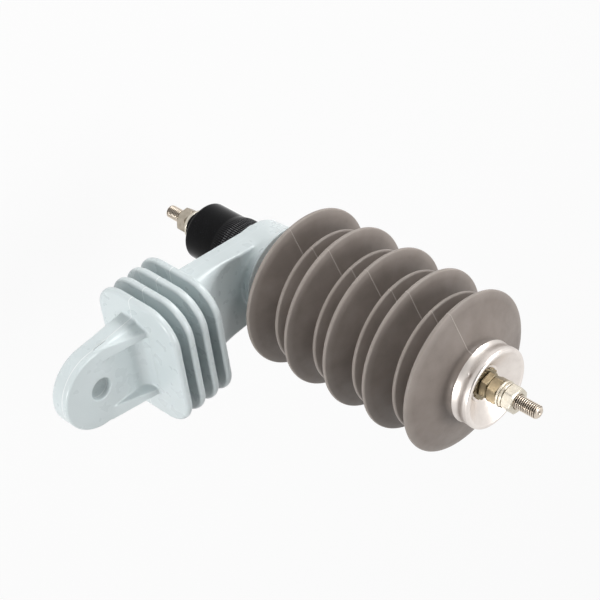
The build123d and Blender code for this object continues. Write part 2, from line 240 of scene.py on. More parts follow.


# Silicone rubber, compression moulded: matt with a faint bloom, paler along its seams, softly mottled, with a
# painted highlight on the shed rims.
rubberLook = {
    "deep": linearColour("#7A7069"),
    "pale": linearColour("#8C827B"),
    # paler seams, and the painted highlight on the shed rims
    "rubbedAndHighlight": linearColour("#C9C1BA"),
    "mottle": 14.0,
    "dust": 3.2,
    "skin": 0.9,  # mould texture, drawn coarser than its 0.1 mm
    "roughness": (0.42, 0.58),
}


def siliconeRubber(r):
    material, tree, shader, place = newMaterial("silicone_rubber", IOR=1.41, Sheen_Weight=0.12,
                                                Sheen_Roughness=0.5)
    clouds = addNode(tree, "ShaderNodeTexNoise", {"Vector": place, "Scale": 1 / r["mottle"], "Detail": 4})
    dust = addNode(tree, "ShaderNodeTexNoise", {
        "Vector": place, "Scale": 1 / r["dust"], "Detail": 5, "Roughness": 0.65,
    })
    skin = addNode(tree, "ShaderNodeTexNoise", {"Vector": place, "Scale": 1 / r["skin"], "Detail": 3})
    wearAndHighlight = addNode(tree, "ShaderNodeAttribute", give="Fac", attribute_name="wearAndHighlight")
    share = addNode(tree, "ShaderNodeMapRange", {0: clouds, 1: 0.3, 2: 0.7, 3: 0.1, 4: 0.9})
    body = addNode(tree, "ShaderNodeMix", {0: share, 6: r["deep"], 7: r["pale"]}, 2, data_type="RGBA")
    # paler along the seams, and a painted highlight on the shed rims, from the piece's wear and highlight
    # values
    share = addNode(tree, "ShaderNodeMapRange", {0: wearAndHighlight, 1: 0.0, 2: 1.0, 3: 0.0, 4: 0.55})
    body = addNode(tree, "ShaderNodeMix", {0: share, 6: body, 7: r["rubbedAndHighlight"]}, 2, data_type="RGBA")
    low, high = r["roughness"]
    matt = addNode(tree, "ShaderNodeMapRange", {0: dust, 1: 0.3, 2: 0.7, 3: low, 4: high})
    raised = addNode(tree, "ShaderNodeBump", {"Height": skin, "Distance": 0.02 * mm})
    dress(tree, shader, body, matt, raised)
    return material


# Glass-filled polyester moulding: a cool blue-grey with a satin skin, faint flow marks and a fine line of
# flash, a little paler, where the two halves of the mould meet.
mouldingLook = {
    "body": linearColour("#D2DBDC"),
    "pale": linearColour("#D8E0E1"),
    "cool": linearColour("#CCD6D8"),
    "flash": linearColour("#F4F8F8"),
    "flow": 26.0,
    "cloud": 9.0,
    "fibre": 1.1,  # fibre print-through, drawn coarser than its 0.3 mm
    "roughness": (0.24, 0.34),
    "parting": 8.7,
    "flashWidth": 0.36,
    "trimmedFrom": 68.2,  # the arm's flash is trimmed off from here
    "trimmedShare": 0.12,
}


def bracketMoulding(m):
    material, tree, shader, place = newMaterial("bracket_moulding", IOR=1.52)
    flow = addNode(tree, "ShaderNodeTexNoise", {"Vector": place, "Scale": 1 / m["flow"], "Detail": 3})
    cloud = addNode(tree, "ShaderNodeTexNoise", {"Vector": place, "Scale": 1 / m["cloud"], "Detail": 2})
    fibre = addNode(tree, "ShaderNodeTexNoise", {"Vector": place, "Scale": 1 / m["fibre"], "Detail": 3})
    share = addNode(tree, "ShaderNodeMapRange", {0: flow, 1: 0.2, 2: 0.8, 3: 0.0, 4: 1.0})
    body = addNode(tree, "ShaderNodeMix", {0: share, 6: m["cool"], 7: m["pale"]}, 2, data_type="RGBA")
    share = addNode(tree, "ShaderNodeMapRange", {0: cloud, 1: 0.2, 2: 0.8, 3: 0.2, 4: 0.7})
    body = addNode(tree, "ShaderNodeMix", {0: share, 6: body, 7: m["body"]}, 2, data_type="RGBA")
    along, _, height = addNode(tree, "ShaderNodeSeparateXYZ", {0: place}, give=None).outputs
    apart = addNode(tree, "ShaderNodeMath", {0: height, 1: m["parting"]}, operation="SUBTRACT")
    apart = addNode(tree, "ShaderNodeMath", {0: apart}, operation="ABSOLUTE")
    flash = addNode(tree, "ShaderNodeMapRange", {0: apart, 1: 0.05, 2: m["flashWidth"], 3: 1.0, 4: 0.0},
                    interpolation_type="SMOOTHSTEP")
    edge = m["trimmedFrom"] - axisX
    onFins = addNode(tree, "ShaderNodeMapRange", {
        0: along, 1: edge, 2: m["trimmedFrom"] + 1 - axisX, 3: 1.0, 4: m["trimmedShare"],
    })
    flash = addNode(tree, "ShaderNodeMath", {0: flash, 1: onFins}, operation="MULTIPLY")
    body = addNode(tree, "ShaderNodeMix", {0: flash, 6: body, 7: m["flash"]}, 2, data_type="RGBA")
    low, high = m["roughness"]
    satin = addNode(tree, "ShaderNodeMapRange", {0: cloud, 1: 0.2, 2: 0.8, 3: low, 4: high})
    skin = addNode(tree, "ShaderNodeBump", {"Height": fibre, "Distance": 0.006 * mm})
    raised = addNode(tree, "ShaderNodeBump", {"Height": flash, "Distance": 0.10 * mm, "Normal": skin})
    dress(tree, shader, body, satin, raised)
    return material


# Phenolic moulding compound: near-black, polished by the tool, with a light haze of dust, and the knurl's
# crests rubbed pale with a painted highlight.
phenolicLook = {
    "body": linearColour("#060608"),
    "dusty": linearColour("#0D0D0F"),
    # the knurl's rubbed crests with their painted highlight
    "rubbedAndHighlight": linearColour("#6C6C6E"),
    "haze": 6.0,
    "skin": 1.6,
    "roughness": (0.07, 0.16),
}


def blackMoulding(p):
    material, tree, shader, place = newMaterial("black_moulding", IOR=1.5, Specular_IOR_Level=0.10)
    haze = addNode(tree, "ShaderNodeTexNoise", {
        "Vector": place, "Scale": 1 / p["haze"], "Detail": 5, "Roughness": 0.6,
    })
    skin = addNode(tree, "ShaderNodeTexNoise", {"Vector": place, "Scale": 1 / p["skin"], "Detail": 3})
    wearAndHighlight = addNode(tree, "ShaderNodeAttribute", give="Fac", attribute_name="wearAndHighlight")
    share = addNode(tree, "ShaderNodeMapRange", {0: haze, 1: 0.3, 2: 0.7, 3: 0.0, 4: 1.0})
    body = addNode(tree, "ShaderNodeMix", {0: share, 6: p["body"], 7: p["dusty"]}, 2, data_type="RGBA")
    # the knurl's crests rubbed pale with a painted highlight, from the piece's wear and highlight values
    body = addNode(tree, "ShaderNodeMix", {0: wearAndHighlight, 6: body, 7: p["rubbedAndHighlight"]}, 2, data_type="RGBA")
    low, high = p["roughness"]
    polish = addNode(tree, "ShaderNodeMapRange", {0: haze, 1: 0.3, 2: 0.7, 3: low, 4: high})
    raised = addNode(tree, "ShaderNodeBump", {"Height": skin, "Distance": 0.008 * mm})
    dress(tree, shader, body, polish, raised)
    return material


def turnedMetal(name, colour, tarnish, roughness, lines=0.35, lump=5.0, bump=0.006):
    # Metal worked on a lathe or in a die: fine rings round the axis over a cloudy tarnish.
    material, tree, shader, place = newMaterial(name, Metallic=1.0)
    reach, sweep, height = aroundAxis(tree, place)
    slow = addNode(tree, "ShaderNodeMath", {0: sweep, 1: 1.6}, operation="MULTIPLY")
    ringPlace = addNode(tree, "ShaderNodeCombineXYZ", {0: reach, 1: slow, 2: height})
    rings = addNode(tree, "ShaderNodeTexNoise", {"Vector": ringPlace, "Scale": 1 / lines, "Detail": 2})
    clouds = addNode(tree, "ShaderNodeTexNoise", {
        "Vector": place, "Scale": 1 / lump, "Detail": 5, "Roughness": 0.6,
    })
    share = addNode(tree, "ShaderNodeMapRange", {0: clouds, 1: 0.3, 2: 0.7, 3: 0.0, 4: 0.6})
    colours = {6: linearColour(colour), 7: linearColour(tarnish)}
    body = addNode(tree, "ShaderNodeMix", {0: share, **colours}, 2, data_type="RGBA")
    shine = addNode(tree, "ShaderNodeMath", {0: clouds, 1: rings}, operation="ADD")
    shine = addNode(tree, "ShaderNodeMapRange", {0: shine, 1: 0.7, 2: 1.3, 3: roughness[0], 4: roughness[1]})
    raised = addNode(tree, "ShaderNodeBump", {"Height": rings, "Distance": bump * mm})
    dress(tree, shader, body, shine, raised)
    return material


def threadMetal(name, root, crest, roughness):
    # Rolled thread: painted shade darkens the roots, and the crests are rubbed bright with a painted
    # highlight, from the piece's wear and highlight values.
    material, tree, shader, place = newMaterial(name, Metallic=1.0)
    clouds = addNode(tree, "ShaderNodeTexNoise", {
        "Vector": place, "Scale": 1 / 1.6, "Detail": 5, "Roughness": 0.6,
    })
    wearAndHighlight = addNode(tree, "ShaderNodeAttribute", give="Fac", attribute_name="wearAndHighlight")
    highlightShare = addNode(tree, "ShaderNodeMapRange", {0: clouds, 1: 0.3, 2: 0.7, 3: 0.85, 4: 1.05})
    highlightShare = addNode(tree, "ShaderNodeMath", {0: wearAndHighlight, 1: highlightShare}, operation="MULTIPLY")
    colours = {6: linearColour(root), 7: linearColour(crest)}
    body = addNode(tree, "ShaderNodeMix", {0: highlightShare, **colours}, 2, data_type="RGBA")
    shine = addNode(tree, "ShaderNodeMapRange", {0: highlightShare, 1: 0.0, 2: 1.0, 3: roughness[0], 4: roughness[1]})
    raised = addNode(tree, "ShaderNodeBump", {"Height": clouds, "Distance": 0.006 * mm})
    dress(tree, shader, body, shine, raised)
    return material


def speckled(name, colour, speck, size, roughness, ior=1.5):
    # A plain body with specks or pores of one size in it.
    material, tree, shader, place = newMaterial(name, Metallic=0.0, IOR=ior)
    specks = addNode(tree, "ShaderNodeTexNoise", {
        "Vector": place, "Scale": 1 / size, "Detail": 4, "Roughness": 0.7,
    })
    clouds = addNode(tree, "ShaderNodeTexNoise", {"Vector": place, "Scale": 1 / (size * 6), "Detail": 2})
    share = addNode(tree, "ShaderNodeMapRange", {0: specks, 1: 0.3, 2: 0.7, 3: 0.0, 4: 1.0})
    colours = {6: linearColour(colour), 7: linearColour(speck)}
    body = addNode(tree, "ShaderNodeMix", {0: share, **colours}, 2, data_type="RGBA")
    shine = addNode(tree, "ShaderNodeMapRange", {0: clouds, 1: 0.3, 2: 0.7, 3: roughness[0], 4: roughness[1]})
    raised = addNode(tree, "ShaderNodeBump", {"Height": specks, "Distance": 0.01 * mm})
    dress(tree, shader, body, shine, raised)
    return material


def woundGlass():
    # Filament-wound glass and epoxy: amber, with crossing bands of roving at 2 mm.
    material, tree, shader, place = newMaterial("glass_fibre", IOR=1.52, Roughness=0.35)
    _, sweep, height = aroundAxis(tree, place)
    sweep = addNode(tree, "ShaderNodeMath", {0: sweep, 1: 19.0}, operation="MULTIPLY")  # wall radius in mm
    crossing = addNode(tree, "ShaderNodeCombineXYZ", {0: sweep, 1: height})
    bands = []
    for lean in (0.9, -0.9):
        leaning = addNode(tree, "ShaderNodeMapping", {0: crossing, 2: (0, 0, lean)})
        wave = {0: leaning, "Scale": 0.16, "Distortion": 0.4}
        bands.append(addNode(tree, "ShaderNodeTexWave", wave, "Fac"))
    weave = addNode(tree, "ShaderNodeMath", {0: bands[0], 1: bands[1]}, operation="MULTIPLY")
    colours = {6: linearColour("#8F7A4C"), 7: linearColour("#C9B683")}
    body = addNode(tree, "ShaderNodeMix", {0: weave, **colours}, 2, data_type="RGBA")
    tree.links.new(body, shader.inputs["Base Color"])
    raised = addNode(tree, "ShaderNodeBump", {"Height": weave, "Distance": 0.05 * mm})
    tree.links.new(raised, shader.inputs["Normal"])
    return material


metals = {  # colour, tarnish, roughness and the sizes that differ from the usual ones
    # spun stainless steel: bright, with faint rings from the spinning roller
    "cap_steel": ("#E9E2DC", "#CFC7C1", (0.30, 0.42), {"lines": 0.5, "lump": 9.0, "bump": 0.002}),
    # zinc-plated steel gone dull: olive-brown with a cloudy film
    "dull_nut_steel": ("#968B74", "#786E5A", (0.30, 0.44), {"lump": 2.6}),
    # bright zinc plate: silver with a warm cast
    "bright_nut_steel": ("#D6D0C3", "#B5AD9D", (0.32, 0.44), {"lump": 2.4, "bump": 0.003}),
    # the same plate, darker and greyer, for the earth nut: painted shade
    "shaded_nut_steel": ("#B9B0A2", "#8D8475", (0.32, 0.46), {"lump": 2.4, "bump": 0.003}),
    # sprung carbon steel: blued grey
    "spring_steel": ("#A5A29A", "#6B675F", (0.25, 0.42), {"lump": 2.0}),
    # cast and faced aluminium alloy
    "aluminium": ("#C9CACC", "#A6A7AA", (0.25, 0.42), {"lines": 0.3}),
    "brass": ("#C9A55A", "#8F7640", (0.22, 0.40), {}),
}
looks = {
    "silicone_rubber": siliconeRubber(rubberLook),
    "bracket_moulding": bracketMoulding(mouldingLook),
    "black_moulding": blackMoulding(phenolicLook),
    # painted shade in the thread roots (#241B13), and the crests rubbed bright with a painted highlight
    # (#F0E3D3)
    "stud_steel": threadMetal("stud_steel", "#241B13", "#F0E3D3", (0.50, 0.28)),
    # ethylene propylene rubber
    "seal_rubber": speckled("seal_rubber", "#1E1E1F", "#2C2B2A", 0.8, (0.5, 0.7)),
    # sintered zinc oxide with a glassy collar
    "varistor_ceramic": speckled("varistor_ceramic", "#4A4B4A", "#5B5C5A", 0.6, (0.3, 0.5), ior=1.9),
    "ring_ceramic": speckled("ring_ceramic", "#8D7B66", "#A3927C", 0.7, (0.4, 0.6), ior=1.6),
    "glass_fibre": woundGlass(),
}
looks.update({name: turnedMetal(name, *tones, **sizes) for name, (*tones, sizes) in metals.items()})
print("materials made:", len(looks))


housingLow, housingHigh = nodeBox("silicone_housing")
housing = {
    "bigRadius": (housingHigh[0] - housingLow[0]) / 2,
    "smallRadius": 41.2,
    "trunkRadius": 22.0,
    "boreRadius": 19.15,
    "bigSheds": 5,
    "pitch": 29.3,
    "smallRise": 15.5,
    "firstShed": 44.4,
    "rim": 2.6,
    "topRise": 7.0,
    "underRise": 3.2,
    "rootRound": 3.0,
    "rimRound": 1.1,
    "seams": (99.0, 279.0),
    "seamHeight": 0.22,
    "seamWidth": 0.28,
    "seamFrom": 32.0,  # the seam is wiped off the plain ends below and above these levels
    "seamTo": 172.0,
    "sag": 0.25,
}


def makeHousing(h):
    # Shed profile: out along the under side, round the rim, back up the top side, with arcs at rim and root.
    corners = [(h["trunkRadius"], housingLow[2])]
    radii = [0.0]
    for shed in range(h["bigSheds"]):
        rims = [(h["bigRadius"], h["firstShed"] + shed * h["pitch"])]
        if shed < h["bigSheds"] - 1:
            rims.append((h["smallRadius"], rims[0][1] + h["smallRise"]))
        for reach, level in rims:
            slope = h["topRise"] * (reach - h["trunkRadius"]) / (h["bigRadius"] - h["trunkRadius"])
            corners += [
                (h["trunkRadius"], level - h["rim"] / 2 + h["underRise"]),
                (reach, level - h["rim"] / 2),
                (reach, level + h["rim"] / 2),
                (h["trunkRadius"], level + h["rim"] / 2 + slope),
            ]
            radii += [h["rootRound"], h["rimRound"], h["rimRound"], h["rootRound"]]
    corners.append((h["trunkRadius"], housingHigh[2]))
    radii.append(0.0)
    outer = subdivide(roundedPath(corners, radii, steps=5), 4.2)
    inner = np.array([(h["boreRadius"], housingHigh[2]), (h["boreRadius"], housingLow[2])])
    turns = fullTurn(200, h["seams"], 0.16, 1.8)
    normals = pathNormals(outer)
    radius = outer[:, :1] + np.zeros_like(turns)
    height = outer[:, 1:] + np.zeros_like(turns)
    # The seam is a low bead: height times exp of minus the square of the distance round over its width.
    seam = np.zeros_like(radius)
    for place in h["seams"]:
        apart = np.abs((turns - np.radians(place) + np.pi) % (2 * np.pi) - np.pi) * radius
        seam = np.maximum(seam, np.exp(-(apart / h["seamWidth"]) ** 2))
    # Each shed hangs a little unevenly: a slow wave round it that grows with the square of the reach.
    reachShare = np.clip((radius - h["trunkRadius"]) / (h["bigRadius"] - h["trunkRadius"]), 0, 1) ** 2
    wave = np.sin(2 * turns + height * 0.13) + 0.5 * np.sin(3 * turns - height * 0.21)
    fromEnds = np.clip(np.minimum(height - housingLow[2], housingHigh[2] - height) / 8, 0, 1)
    lift = h["seamHeight"] * seam * np.clip(h["bigRadius"] - radius + 0.03, 0, 1) ** 0.5
    lift = np.where((height < h["seamFrom"]) | (height > h["seamTo"]), 0, lift)
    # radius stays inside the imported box: the seam's bead on the rim is taken out of the rim instead
    radius = np.minimum(radius + lift * normals[:, :1], h["bigRadius"])
    height = height + lift * normals[:, 1:] + h["sag"] * reachShare * wave * fromEnds
    outside = turned(radius, height, turns)
    inside = turned(inner[:, :1], inner[:, 1:], turns)
    # A painted highlight along the rims of the big sheds at 0.4 and the small ones at 0.3; the seams are
    # paler at 0.9.
    rimHighlight = np.exp(-((h["bigRadius"] - outer[:, 0]) / 1.6) ** 2)[:, None] * 0.4
    rimHighlight = np.maximum(rimHighlight, np.exp(-((h["smallRadius"] - outer[:, 0]) / 1.0) ** 2)[:, None] * 0.3)
    wearAndHighlight = np.maximum(seam * 0.9, rimHighlight + np.zeros_like(turns))
    wearAndHighlight = np.vstack([wearAndHighlight, np.zeros((2, len(turns)))])
    return meshFromGrid("housing", np.concatenate([outside, inside]), True, "silicone_rubber",
                        ["silicone_housing"], extra=wearAndHighlight)


makeHousing(housing)


capLow, capHigh = nodeBox("line_end_cap")
seatZ = nodeBox("line_toothed_washer")[0][2]
cap = {
    "rimRadius": 24.2,
    "waistRadius": 23.7,
    "lipRadius": (capHigh[0] - capLow[0]) / 2,
    "sheet": 1.2,
    "dishFloor": 11.0,
    "boreRadius": 4.1,
    "rimWidth": 1.6,
    "wallRound": 9.0,
    "outOfTrue": 0.04,  # what spinning leaves
    "crimpTurn": 128.0,
    "crimpRadius": 1.2,
    "crimpDepth": 0.55,
}


def makeCap(c):
    # A sheet of even thickness along the middle line of a waisted cup with a dished face.
    half = c["sheet"] / 2
    tall = capHigh[2] - capLow[2]
    middle = roundedPath([
        (c["lipRadius"] - half, capLow[2]),
        (c["waistRadius"] - half, capLow[2] + tall * 0.30),
        (c["rimRadius"] - half, capHigh[2] - tall * 0.30),
        (c["rimRadius"] - half, capHigh[2] - half),
        (c["rimRadius"] - half - c["rimWidth"], capHigh[2] - half),
        (c["dishFloor"], seatZ - half),
        (c["boreRadius"], seatZ - half),
    ], [0, c["wallRound"], c["wallRound"], 0.7, 0.8, 1.6, 0], steps=9)
    middle = subdivide(middle, 0.7)
    normals = pathNormals(middle)
    loop = np.vstack([middle + normals * half, (middle - normals * half)[::-1]])
    turns = fullTurn(150, [c["crimpTurn"]], 0.4, 5.0)
    radius = loop[:, :1] + np.zeros_like(turns)
    height = loop[:, 1:] + np.zeros_like(turns)
    # The crimp is a round dent: depth times exp of minus the square of the distance from its middle.
    across = ((turns - np.radians(c["crimpTurn"]) + np.pi) % (2 * np.pi) - np.pi) * radius
    up = height - (capLow[2] + capHigh[2]) / 2
    dent = np.exp(-(across ** 2 + up ** 2) / c["crimpRadius"] ** 2 * 1.6)
    onWall = np.arange(len(loop))[:, None] < len(middle)
    radius = radius - c["crimpDepth"] * dent * onWall
    # The wall runs a little out of round: a slow wave that changes with the height.
    onSide = height < capHigh[2] - 2
    radius = radius + c["outOfTrue"] * np.sin(3 * turns + height) * onSide - c["outOfTrue"]
    return meshFromGrid("line_cap", turned(radius, height, turns), True, "cap_steel", ["line_end_cap"], 50)


makeCap(cap)


stud = {"radius": 4.0, "pitch": 1.25, "depth": 0.62, "chamfer": 1.0, "centreDrill": 1.1, "drillDepth": 0.9}


def threadRadius(height, turns, s, major):
    # A 60 degree thread with flat crest and rounded root: a clipped triangle wave, one pitch up each turn.
    phase = (height / s["pitch"] - turns / (2 * np.pi)) % 1.0
    ramp = np.abs(phase - 0.5) * 2  # 0 at the crest, 1 at the root
    crest = 1 - np.clip((ramp - 0.14) / 0.66, 0, 1)
    crest = crest * crest * (3 - 2 * crest) * 0.25 + crest * 0.75
    return major - s["depth"] * (1 - crest), crest * crest * (3 - 2 * crest)


def makeStud(name, node, s, tipAt, headRadius=0.0, headTop=0.0, headBottom=0.0):
    # Rows of height carry the thread, and the free end is chamfered and centre drilled.
    low, high = nodeBox(node)
    shankTop = headBottom if headRadius else high[2]
    height = np.arange(low[2], shankTop + 1e-6, s["pitch"] / 9)
    height = np.append(height[:-1], shankTop)
    turns = fullTurn(44)
    radius, crest = threadRadius(height[:, None], turns, s, s["radius"])
    fromTip = (height - low[2] if tipAt == "low" else high[2] - height)[:, None]
    limit = s["radius"] - s["chamfer"] + fromTip * 1.1
    crest = np.where(radius > limit, 0.8, crest)
    radius = np.minimum(radius, limit)
    grid = turned(radius, height[:, None], turns)
    face = s["radius"] - s["chamfer"]
    inward = -1 if tipAt == "high" else 1
    tip = high[2] if tipAt == "high" else low[2]
    depth = inward * s["drillDepth"]
    drill = [(s["centreDrill"], tip), (s["centreDrill"] * 0.5, tip + depth * 0.7), (0, tip + depth)]
    drill = [turned(r, z, turns)[None] for r, z in drill]
    # Painted light: a painted highlight on the crests, the chamfer and the drill's rim, painted shade in the
    # thread roots and the centre drill; the head takes half.
    drillRimHighlight = np.full((1, len(turns)), 0.7)
    if tipAt == "high":
        rows = [turned(0, low[2], turns)[None], grid, *drill]
        wearAndHighlight = np.vstack([crest[:1] * 0, crest, drillRimHighlight, np.zeros((2, len(turns)))])
    else:
        head = [(headRadius, headBottom), (headRadius, headTop), (0, headTop)]
        head = [turned(r, z, turns)[None] for r, z in head]
        rows = [*drill[::-1], grid, *head]
        headRows = np.full((3, len(turns)), 0.5)
        wearAndHighlight = np.vstack([np.zeros((2, len(turns))), drillRimHighlight, crest, headRows])
    return meshFromGrid(name, np.concatenate(rows), False, "stud_steel", [node], 60, wearAndHighlight)


makeStud("line_stud_threaded", "line_stud", stud, "high")
caseLow, caseHigh = nodeBox("disconnector_case")
earthLow, earthHigh = nodeBox("earth_stud")
earthHead = {"radius": (earthHigh[0] - earthLow[0]) / 2, "height": 5.0}
makeStud("earth_stud_threaded", "earth_stud", stud, "low", earthHead["radius"], earthHigh[2],
         earthHigh[2] - earthHead["height"])


nut = {
    "acrossFlats": 14.0,
    "cornerRound": 0.5,
    "chamfer": 1.0,
    "boreRadius": 4.1,
    "boreSlack": 0.02,
    "countersink": 0.7,
}


def makeNut(name, node, turn, n, slot, look=None):
    # Radius of a hexagon at each angle: half the flats over cos of the angle from the flat's middle. A cone
    # at each face takes off the corners, so that each flat ends in an arc.
    low, high = nodeBox(node)
    turns = fullTurn(144)
    fromFlat = (turns - np.radians(turn + 30) + np.pi / 6) % (np.pi / 3) - np.pi / 6
    flats = n["acrossFlats"] / 2
    corner = flats / np.cos(np.pi / 6)
    hexagon = flats / np.cos(fromFlat)
    sharp = (hexagon - flats) / (corner - flats)
    hexagon = hexagon - n["cornerRound"] * 0.35 * sharp ** 6
    bore = n["boreRadius"]
    openRadius = bore + n["countersink"]
    rise = np.linspace(0, n["chamfer"], 7)
    cone = flats - 0.45 + rise / n["chamfer"] * (corner - flats + 0.5)
    lower = np.minimum(hexagon, cone[:, None])
    wall = np.concatenate([lower, lower[::-1]])
    wallZ = np.concatenate([low[2] + rise, high[2] - rise[::-1]])[:, None] + np.zeros_like(turns)
    # the bore, between its two countersinks
    deep = np.linspace(high[2] - n["countersink"], low[2] + n["countersink"], int((high[2] - low[2]) / 0.16))
    rows = [turned(wall, wallZ, turns), turned(openRadius, high[2], turns)[None],
            turned(bore + n["boreSlack"], deep[:, None], turns), turned(openRadius, low[2], turns)[None]]
    return meshFromGrid(name, np.concatenate(rows), True, slot, [node], 22, look=look)


makeNut("line_clamp_nut_hex", "line_clamp_nut", 8, nut, "dull_nut_steel")
makeNut("line_lock_nut_hex", "line_lock_nut", 22, nut, "dull_nut_steel")
makeNut("line_terminal_nut_hex", "line_terminal_nut", 0, nut, "bright_nut_steel")
# the earth nut takes the darker copy of the bright plate: painted shade
makeNut("earth_nut_hex", "earth_nut", 14, nut, "bright_nut_steel", "shaded_nut_steel")

washer = {"bore": 4.2, "splitRound": 0.4, "twist": 0.12}


def makeWasher(name, node, slot, edgeRound, teeth=0, toothDepth=0.0):
    # A flat ring with rolled edges. Teeth make the outer radius dip by a rounded wave.
    low, high = nodeBox(node)
    outer = (high[0] - low[0]) / 2
    turns = fullTurn(16 * teeth if teeth else 96)
    loop = roundedPath([
        (washer["bore"], low[2]), (outer, low[2]), (outer, high[2]), (washer["bore"], high[2]),
    ], [edgeRound] * 4, steps=5, closed=True)
    loop = subdivide(loop, 0.8, closed=True)
    dip = toothDepth * (0.5 - 0.5 * np.cos(teeth * turns)) ** 1.5 if teeth else np.zeros_like(turns)
    share = np.clip((loop[:, :1] - washer["bore"]) / (outer - washer["bore"]), 0, 1)
    radius = loop[:, :1] - dip * share ** 3
    twist = washer["twist"] * np.sin(teeth * turns) * share ** 6
    height = np.clip(loop[:, 1:] + twist, low[2], high[2]) + np.zeros_like(turns)
    return meshFromGrid(name, turned(radius, height, turns), True, slot, [node], 50)


makeWasher("toothed_washer", "line_toothed_washer", "dull_nut_steel", 0.3, 18, 0.95)
makeWasher("line_plain_washer", "line_flat_washer", "bright_nut_steel", 0.4)
makeWasher("earth_plain_washer", "earth_flat_washer", "bright_nut_steel", 0.4)


def makeSpringWasher(name, node, turn, gap=1.0):
    # A bar of rounded square section carried once round, stopping short of itself by the gap.
    low, high = nodeBox(node)
    outer = (high[0] - low[0]) / 2
    inner = washer["bore"]
    middle = (inner + outer) / 2
    opening = gap / middle
    turns = np.radians(turn) + np.linspace(opening / 2, 2 * np.pi - opening / 2, 90)
    corners = [(inner, low[2]), (outer, low[2]), (outer, high[2]), (inner, high[2])]
    section = roundedPath(corners, [washer["splitRound"]] * 4, 5, True)
    section = np.vstack([np.zeros((1, 2)) + section.mean(axis=0), section])
    ring = turned(section[1:, 0], section[1:, 1], turns[:, None])
    caps = turned(section[0, 0], section[0, 1], turns[[0, -1], None] + np.zeros(len(section) - 1))
    grid = np.concatenate([caps[:1], ring, caps[1:]])
    return meshFromGrid(name, grid, False, "bright_nut_steel", [node], 50)


makeSpringWasher("line_split_washer", "line_spring_washer", 200)
makeSpringWasher("earth_split_washer", "earth_spring_washer", 20)


case = {
    "knurlRadius": (caseHigh[0] - caseLow[0]) / 2,
    "radius": 17.8,
    "knurlLength": 17.5,
    "length": 42.0,
    "neckRadius": 9.5,
    "blend": 6.0,
    "boreRadius": 4.15,
    "innerRadius": 13.0,
    "baseThickness": 8.0,
    "flutes": 84,
    "ringPitch": 3.1,
    "ringWidth": 0.5,
    "knurlDepth": 0.5,
}


def makeCase(c):
    # Turned profile. The grip is cut by straight flutes, a cosine wave round the axis, and crossed by narrow
    # rings at an even pitch.
    top = caseHigh[2]
    knurlEnd = top - c["knurlLength"]
    bottom = top - c["length"]
    corners = [
        (c["knurlRadius"], top), (c["knurlRadius"], knurlEnd + c["blend"] / 2),
        (c["radius"], knurlEnd - c["blend"] / 2), (c["radius"], bottom), (c["neckRadius"], bottom),
        (c["neckRadius"], caseLow[2]), (c["boreRadius"], caseLow[2]),
    ]
    outer = roundedPath(corners, [0, 4, 4, 1.6, 0.8, 0.8, 0], steps=7)
    band = subdivide(outer[:8], 0.4)
    rest = subdivide(outer[8:], 1.6)
    outer = np.vstack([band, rest])
    floor = caseLow[2] + c["baseThickness"]
    inner = np.array([(c["boreRadius"], floor), (c["innerRadius"], floor + 0.5), (c["innerRadius"], top)])
    turns = fullTurn(c["flutes"] * 6)
    radius = outer[:, :1] + np.zeros_like(turns)
    height = outer[:, 1:] + np.zeros_like(turns)
    flute = 0.5 + 0.5 * np.cos(turns * c["flutes"])
    fromRing = np.abs((top - height) % c["ringPitch"] - c["ringPitch"] / 2)
    crest = flute * np.clip(fromRing / c["ringWidth"], 0, 1)
    belowTop = np.clip((top - 0.6 - height) / 0.6, 0, 1)
    inBand = belowTop * np.clip((height - knurlEnd - c["blend"] / 2 + 0.5) / 0.8, 0, 1)
    radius = radius - c["knurlDepth"] * (1 - crest) * inBand
    grid = np.concatenate([turned(radius, height, turns), turned(inner[:, :1], inner[:, 1:], turns)])
    # the knurl's crests, within its band, take the pale mix: rubbed and a painted highlight; the inside takes
    # none
    rubbedAndHighlight = np.vstack([crest ** 3 * inBand, np.zeros((len(inner), len(turns)))])
    return meshFromGrid("disconnector_shell", grid, True, "black_moulding", ["disconnector_case"], 50, rubbedAndHighlight)


makeCase(case)


bracketLow, bracketHigh = nodeBox("insulating_bracket")
bracket = {
    "lugThickness": 12.4,
    "lugTip": 25.3,
    "lugRootHalf": 28.0,
    "lugRound": 1.3,
    "holeRadius": 6.75,
    "holeRound": 0.35,
    "ribHeight": 8.0,
    "ribLength": 28.0,
    "ribHalf": 1.8,
    "ribMiddle": 21.6,
    "ribDraft": 3.0 / 9.2,
    "ribRound": 0.7,
    "web": 8.0,
    "finFirst": 34.7,
    "finPitch": 10.4,
    "finCount": 4,
    "finWidth": (bracketHigh[1] - bracketLow[1]),
    "finHeight": (bracketHigh[2] - bracketLow[2]),
    "finMiddle": (bracketHigh[2] + bracketLow[2]) / 2,
    "finCorner": 20.5,
    "finHalf": 2.3,
    "finRound": 2.0,
    "coreTop": 22.0,
    "armBottom": 2.5,
    "armFinHalf": 31.9,
    "armFinTop": 31.0,
    "armDraft": 0.07,
    "valley": (95.0, 17.6),
    "bossRadius": 24.2,
    "bossDraft": 0.6,
    "collarRadius": 31.0,
    "collarTop": 28.0,
    "collarSeat": 18.0,
    "collarFlare": 12.4,
    "flareRadius": 26.0,
    "collarRound": 0.9,
    "boreRadius": 5.5,
    "recess": 24.35,
    "crestReach": 0.9,
    "crestBlend": (16.0, 1.8),  # how far the arm's side rolls into its hollow, at the fin and at the collar
    "footBlend": 1.8,
    "rootBlend": 1.6,
    "armBlend": 3.4,
    "grid": (0.9, 0.95, 0.9),
    "fineGrid": 0.72,
    "margin": 1.6,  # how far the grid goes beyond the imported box
    "relax": 3,
    "shadingStep": 0.15,
}


